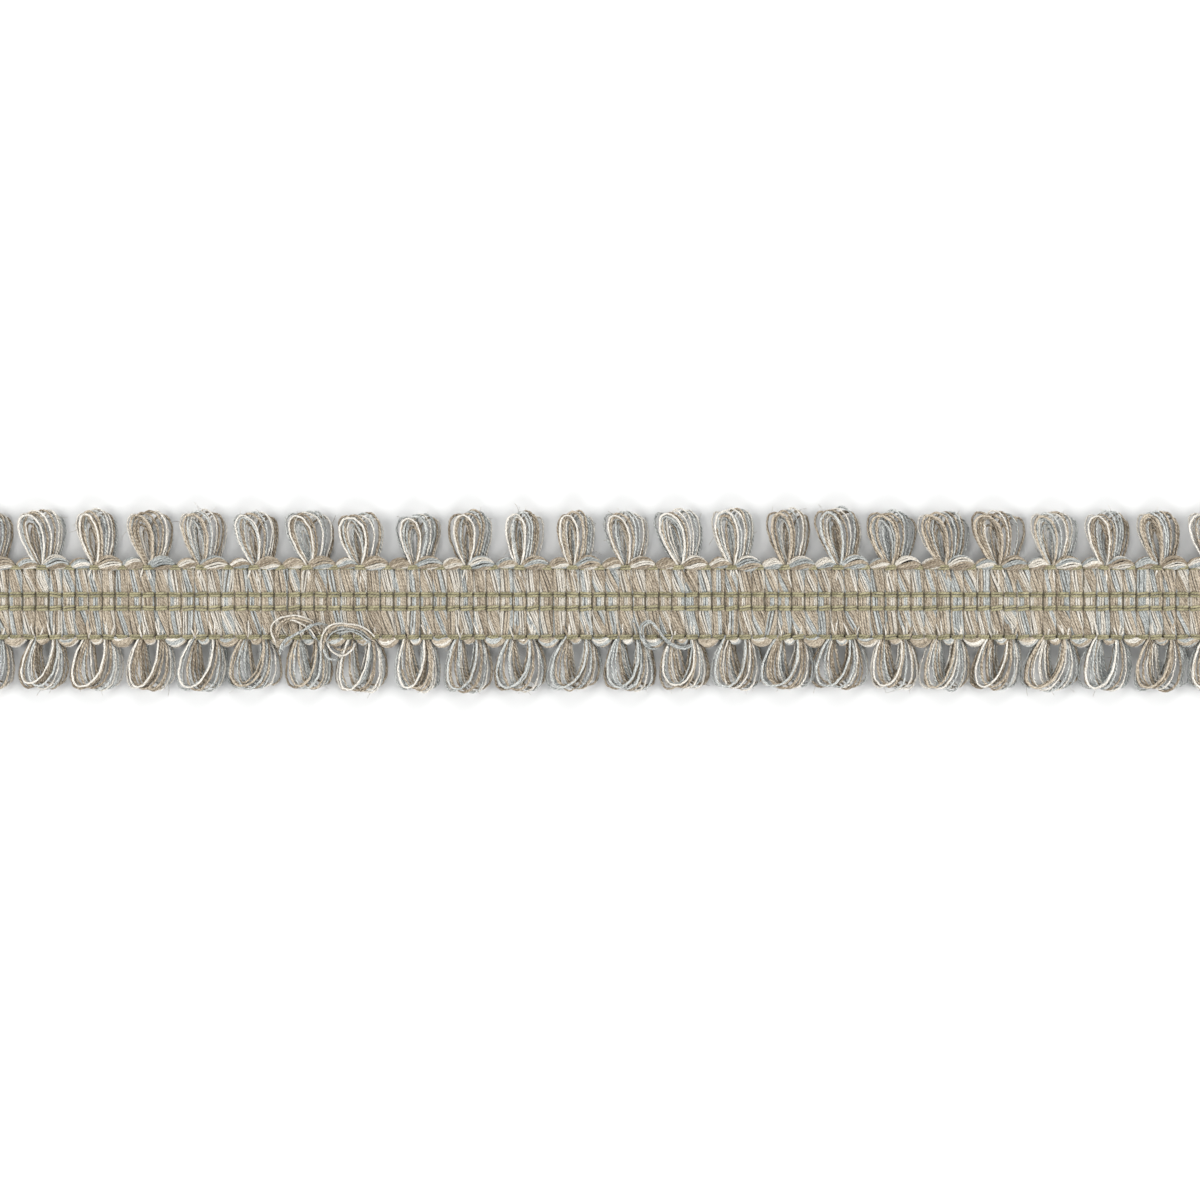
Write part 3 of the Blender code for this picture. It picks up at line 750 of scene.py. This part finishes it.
def scallop_paths(table, side):
    """Paths of the strands of every scallop of one edge.

    Along a scallop with u from 0 to 1, it bulges out and up by sin(pi u), skewed to its fullest place,
    and its strands lie on an ellipse that swells by the same and turns with u, so that it is shaped like
    a leaf.
    """
    kind = {key: np.tile(value, LOOPS)[:, None] for key, value in columns(SCALLOP_COLUMNS, table).items()}
    necks = np.repeat(NECKS, len(table))[:, None]
    count = len(necks)
    size = (count, 1)
    share = np.linspace(0, 1, SCALLOP_STEPS)[None, :]
    swell = np.sin(math.pi * share ** kind["skew"])
    start = kind["start"] + rng.normal(0, 0.12, size)
    end = kind["end"] + rng.normal(0, 0.15, size)
    bulge = kind["bulge"] * rng.normal(1, 0.1, size)
    x = necks + start + (end - start) * share
    y = side * (EDGE_LINE + 0.25 + bulge * swell)
    z = MID_PLANE + 0.15 + 0.7 * swell ** 0.5
    centre = np.stack([x, y, z], axis=-1)
    level = unit(np.cross(unit(np.gradient(centre, axis=1)), [0.0, 0.0, 1.0]))
    half_width = kind["half_width"] * (0.15 + 0.85 * swell ** 0.9) * rng.normal(1, 0.06, size)
    half_thickness = kind["half_thickness"] * (0.3 + 0.7 * swell ** 0.6)
    spot = 2 * math.pi * np.arange(SCALLOP_STRANDS) / SCALLOP_STRANDS
    turned = rng.uniform(0, 2 * math.pi, size) + kind["twist"] * share
    angle = spot[None, :, None] + turned[:, None, :] + rng.normal(0, 0.07, (count, SCALLOP_STRANDS, 1))
    inside = (x[:, 0] > LEFT_END) & (x[:, -1] < RIGHT_END - 0.3)
    paths = bundle_section(centre, level, half_width, half_thickness, angle)[inside]
    paths = paths.reshape(-1, SCALLOP_STEPS, 3)
    return paths + wander(len(paths), SCALLOP_STEPS, 0.03)


def make_scallops(name, table, side, tone, material):
    """All scallops of one edge as one piece."""
    paths = scallop_paths(table, side)
    yarns = pick_yarns(len(paths) // SCALLOP_STRANDS, SCALLOP_STRANDS, 2).ravel()
    thick = uneven(SCALLOP_THICKNESS * thickness_of(yarns), SCALLOP_STEPS)
    return strands(name, paths, thick, yarns, material, 5, tone + rng.uniform(-1.0, 1.0, len(paths)))


# How high each bundle of a repeat holds the threads of a row, from the gap's depth at 0 to the top at 1
ROW_FLOAT = ((1.15, 0.9, 1.0, 0.85), (1.0, 1.0, 1.0, 1.0), (1.0, 1.0, 1.0, 1.0), (1.12, 1.12, 1.05, 1.02))

# How far below the mid plane the threads dip in a gap, how far below it the pair under the bundles lies
# there, how far each of that pair lies from the row's middle, and how far its rounds stay short of the
# upper pair's
DIP, UNDER_DIP, UNDER_SPREAD, UNDER_SHORT = 0.8, 0.35, 0.42, 0.4


def binding_paths():
    """Paths of the binding threads: on each row a pair over the bundles and a pair under them.

    Over a bundle a thread is level, and it dips steeply below the mid plane in the gap beside it. From 0
    at the gap to 1 at the bundle's middle, its height follows a quarter sine that is full from 0.5 on.
    Each bundle's dash has a slope of its own about its row's.
    """
    places = np.array([0.0, 0.05, 0.1, 0.17, 0.35, 0.65, 0.83, 0.9, 0.95])
    share = (np.arange(BUNDLES)[:, None] + places).ravel()
    x = rib_place(share)
    bundle = np.floor(share + 1e-6).astype(int)
    q = 1 - np.abs(2 * (share - bundle) - 1)
    lift = np.sin(math.pi / 2 * np.minimum(1, q / 0.5))
    top = PINCH["thin"] + WEFT_THICKNESS * YARN_RADIUS[1] + THREAD_RADIUS * 0.75
    paths = []
    for row, row_y in enumerate(ROW_Y):
        hold = np.array(ROW_FLOAT[row])[(np.arange(BUNDLES) - 1) % 4]
        lean = rng.normal(ROW_SLOPE[row], 0.07, BUNDLES)[bundle] * (share - bundle - 0.5) * BUNDLE_PITCH
        spread = (ROW_SPREAD[row] + rng.uniform(-0.05, 0.03, BUNDLES))[bundle]
        for pair in (-1, 1):
            y = row_y + lean + pair * (spread * (0.6 + 0.4 * lift)) + rng.normal(0, 0.012, len(x))
            paths.append(np.stack([x, y, MID_PLANE - DIP + (top + DIP) * lift * hold[bundle]], axis=-1))
            y = row_y + pair * UNDER_SPREAD + rng.normal(0, 0.012, len(x))
            paths.append(np.stack([x, y, MID_PLANE - UNDER_DIP - (top - UNDER_SHORT) * lift], axis=-1))
    return np.array(paths)


def make_binding(material):
    """The olive binding threads of all four rows."""
    paths = binding_paths()
    thick = np.full(paths.shape[:2], THREAD_RADIUS)
    tone = np.repeat(ROW_TONE, len(paths) // len(ROW_TONE)) + rng.uniform(-0.4, 0.4, len(paths))
    return strands("binding_threads", paths, thick, np.zeros(len(paths)), material, 5, tone)


def through(points, steps):
    """A smooth curve through the points: cubic pieces whose slope at a point is half the step between its
    neighbours."""
    points = np.asarray(points, float)
    slopes = np.gradient(points, axis=0)
    place = np.linspace(0, len(points) - 1, steps)
    start = np.minimum(place.astype(int), len(points) - 2)
    u = (place - start)[:, None]
    a, b, da, db = points[start], points[start + 1], slopes[start], slopes[start + 1]
    between = a * (1 + 2 * u) * (1 - u) ** 2 + b * u * u * (3 - 2 * u)
    return between + da * u * (1 - u) ** 2 - db * u * u * (1 - u)


def make_curls(material):
    """The sprung tufts: strands that rise from the edge, stand over the face and come down again."""
    share = np.linspace(0, 1, CURL_STEPS)
    rise = np.minimum(1, np.minimum(share, 1 - share) * 7) ** 0.6
    paths = np.array([np.c_[through(route, CURL_STEPS), CURL_ROOT + (crest - CURL_ROOT) * rise]
                      for _, crest, route in CURLS])
    yarns = np.array([yarn for yarn, _, _ in CURLS])
    paths += wander(len(paths), CURL_STEPS, 0.05)
    thick = uneven(CURL_THICKNESS * thickness_of(yarns), CURL_STEPS)
    return strands("sprung_curls", paths, thick, yarns, material)


def make_roots(name, places, side, material):
    """The strands that fan over the band from the necks or stems at these places along an edge.

    With u from 0 outside the edge to 1 on the band, a strand leans by u to the power 0.8, rises over the
    bundles by the sine of pi times u to the power 0.9, and sinks between their strands at its end.
    """
    spots = np.repeat(places, len(ROOT_LEANS))[:, None]
    size = (len(spots), 1)
    lean = np.tile(ROOT_LEANS, len(places))[:, None] + rng.normal(0, 0.3, size)
    reach = np.tile(ROOT_REACH, len(places))[:, None] * rng.normal(1, 0.15, size)
    share = np.linspace(0, 1, ROOT_STEPS)[None, :]
    x = spots + rng.normal(0, 0.25, size) + side * lean * share ** 0.8
    y = side * (EDGE_LINE + 0.5 - (reach + 0.5) * share)
    z = MID_PLANE + 0.35 + 0.72 * np.sin(math.pi * share ** 0.9)
    paths = np.stack(np.broadcast_arrays(x, y, z), axis=-1)
    yarns = np.where(rng.uniform(size=len(paths)) < ROOT_CREAM_SHARE, CREAM, TAUPE)
    paths = paths + wander(len(paths), ROOT_STEPS, 0.04)
    thick = uneven(ROOT_THICKNESS * thickness_of(yarns), ROOT_STEPS)
    return strands(name, paths, thick, yarns, material, 5)


def make_fibres(loops, material):
    """Stray fibres: short arcs that stand off the loops' strands from random places in random directions."""
    strand = rng.integers(0, len(loops), FIBRES)
    step = rng.integers(6, LOOP_STEPS - 6, FIBRES)
    start = loops[strand, step][:, None]
    heading = unit(rng.normal(0, 1, (FIBRES, 1, 3)) * np.array([1.0, 1.0, 0.3]))
    bend = unit(np.cross(heading, [0.0, 0.0, 1.0])) * rng.normal(0, FIBRE_BEND, (FIBRES, 1, 1))
    length = rng.uniform(*FIBRE_LENGTHS, (FIBRES, 1, 1))
    share = np.linspace(0, 1, FIBRE_STEPS)[None, :, None]
    radii = np.full(FIBRES, FIBRE_RADIUS)
    paths = keep_above(start + length * (heading * share + bend * share ** 2), radii)
    yarns = rng.choice([CREAM, TAUPE], FIBRES)
    return strands("stray_fibres", paths, radii[:, None], yarns, material, 3)


# Half the inner sheet's thickness in a gap, and how far less than a bundle's it rises over a bundle
GROUND_HALF, GROUND_CLEARANCE = 0.35, 0.6


def make_ground(material):
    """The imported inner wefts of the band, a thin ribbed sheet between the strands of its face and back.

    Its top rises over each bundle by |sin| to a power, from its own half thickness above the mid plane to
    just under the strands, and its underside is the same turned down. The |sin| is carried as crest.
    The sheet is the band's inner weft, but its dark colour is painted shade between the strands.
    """
    across = np.linspace(-EDGE_LINE, EDGE_LINE, 27)
    number, y = np.meshgrid(np.linspace(0, BUNDLES, BUNDLES * 4 + 1), across, indexing="ij")
    x = rib_place(number)
    rib = np.abs(np.sin(math.pi * number)) ** 0.7
    thick = PINCH["thick"] + (PINCH["thin"] - PINCH["thick"]) * near_row(y)
    half = GROUND_HALF + (thick - GROUND_CLEARANCE) * rib
    top = np.stack([x, y, MID_PLANE + half], axis=-1)
    under = np.stack([x, y, MID_PLANE - half], axis=-1)
    corners = np.concatenate([top.reshape(-1, 3), under.reshape(-1, 3)])
    number = np.arange(x.size).reshape(x.shape)
    a, b, c, d = number[:-1, :-1], number[1:, :-1], number[1:, 1:], number[:-1, 1:]
    face = np.stack([a, b, c, d], axis=-1).reshape(-1, 4)
    back = face[:, ::-1] + x.size
    ring = np.concatenate([number[:-1, 0], number[-1, :-1], number[:0:-1, -1], number[0, :0:-1]])
    ahead = np.roll(ring, -1)
    wall = np.stack([ring + x.size, ahead + x.size, ahead, ring], axis=-1)
    crest = {"crest": np.tile(rib.ravel(), 2)}
    return mesh_from("shaded_band_ground", corners, [np.concatenate([face, back, wall])], material, None, crest)


# The floor reaches three metres each way, and lies just under the lowest strands
FLOOR_CORNERS = ((-3000.0, -3000.0), (3000.0, -3000.0), (3000.0, 3000.0), (-3000.0, 3000.0))
FLOOR_LEVEL = -0.05


def make_floor():
    """The pale floor that the braid lies on."""
    material, tree, shader = new_material("pale_floor", Specular_IOR_Level=0.1)
    place = add_node(tree, "ShaderNodeTexCoord").outputs["Object"]
    grain = noise(tree, place, 60.0)
    feed(tree, shader.inputs["Base Color"], mix_colour(tree, grain, FLOOR_DARK, FLOOR_LIGHT))
    shader.inputs["Roughness"].default_value = 0.9
    corners = np.array([(*corner, FLOOR_LEVEL) for corner in FLOOR_CORNERS])
    floor = mesh_from("floor", corners, [np.array([[0, 1, 2, 3]])], material)


def add_light(name, place, power):
    """A soft square light that looks at the middle of the braid."""
    light = bpy.data.lights.new(name, "AREA")
    light.size = LAMP_SIZE
    light.energy = power
    light.color = LAMP_COLOUR
    lamp = bpy.data.objects.new(name, light)
    lamp.location = place
    lamp.rotation_euler = (-lamp.location).to_track_quat("-Z", "Y").to_euler()
    bpy.context.scene.collection.objects.link(lamp)


# The lamps: the width of each in metres, and for each its name, its place in metres and its power in
# watts
LAMP_SIZE = 0.6
LAMPS = (
    ("upper_lamp", 0.0, 0.74, 0.52, 4.9),
    ("lower_lamp", 0.0, -0.74, 0.52, 4.6),
    ("left_lamp", -0.8, 0.0, 0.43, 9.0),
    ("right_lamp", 0.8, 0.0, 0.43, 9.0),
)


def make_light():
    """Four soft lamps, lower at the braid's ends than at its edges, and a cool sky that fills shadows."""
    for name, x, y, z, power in LAMPS:
        add_light(name, (x, y, z), power)
    world = bpy.data.worlds.new("sky")
    bpy.context.scene.world = world
    bpy.context.scene.view_settings.view_transform = "Standard"
    world.use_nodes = True
    sky = world.node_tree.nodes["Background"]
    sky.inputs["Color"].default_value = SKY_COLOUR
    sky.inputs["Strength"].default_value = SKY_STRENGTH


# How much braid the picture shows across, and its middle. The focal length and the width of the sensor
# are in the camera's own millimetres
FRAME_WIDTH = 254.0 * MM
FRAME_MIDDLE = (-0.32 * MM, 0.46 * MM)
LENS, SENSOR = 200.0, 36.0


def make_camera():
    """A long lens straight above the braid, so that its face is seen square on."""
    data = bpy.data.cameras.new("camera")
    data.lens = LENS
    data.sensor_width = SENSOR
    data.clip_start = 0.01
    camera = bpy.data.objects.new("camera", data)
    camera.location = (*FRAME_MIDDLE, FRAME_WIDTH * LENS / SENSOR)
    bpy.context.scene.collection.objects.link(camera)
    bpy.context.scene.camera = camera


def main():
    band_yarn = mixed_yarn("band_yarn", BAND_CONTRAST)
    loop_yarn = mixed_yarn("loop_yarn", LOOP_CONTRAST)
    olive = olive_thread()
    ground = make_ground(shaded_packed_weft())
    wefts = make_wefts(band_yarn)
    upper_loops, upper_paths = make_loops(
        "upper_loops", UPPER_LOOPS, UPPER_PLAN, NECKS, UPPER_DRAW, loop_yarn)
    stems = NECKS + STEM_SHIFT
    lower_loops, lower_paths = make_loops(
        "lower_loops", LOWER_LOOPS, LOWER_PLAN, stems, LOWER_DRAW, loop_yarn)
    upper_scallops = make_scallops("upper_scallops", UPPER_SCALLOPS, 1, UPPER_SCALLOP_TONE, band_yarn)
    lower_scallops = make_scallops("lower_scallops", LOWER_SCALLOPS, -1, LOWER_SCALLOP_TONE, band_yarn)
    upper_roots = make_roots("upper_roots", NECKS, 1, band_yarn)
    stem_places = np.concatenate([stems + place for place in STEM_PLACES])
    lower_roots = make_roots("lower_roots", stem_places, -1, band_yarn)
    curls = make_curls(loop_yarn)
    fibres = make_fibres(np.concatenate([upper_paths, lower_paths]), loop_yarn)
    binding = make_binding(olive)

    edges = [upper_loops, lower_loops, upper_scallops, lower_scallops, upper_roots, lower_roots]
    edges += [curls, fibres]
    for piece in [ground, binding, *wefts, *edges]:
        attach(piece, "root")
    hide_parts("woven_band")
    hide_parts("binding_row_1", "binding_row_2", "binding_row_3", "binding_row_4")
    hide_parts("upper_loop_edge")
    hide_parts("lower_loop_edge")

    make_floor()
    make_light()
    make_camera()


main()
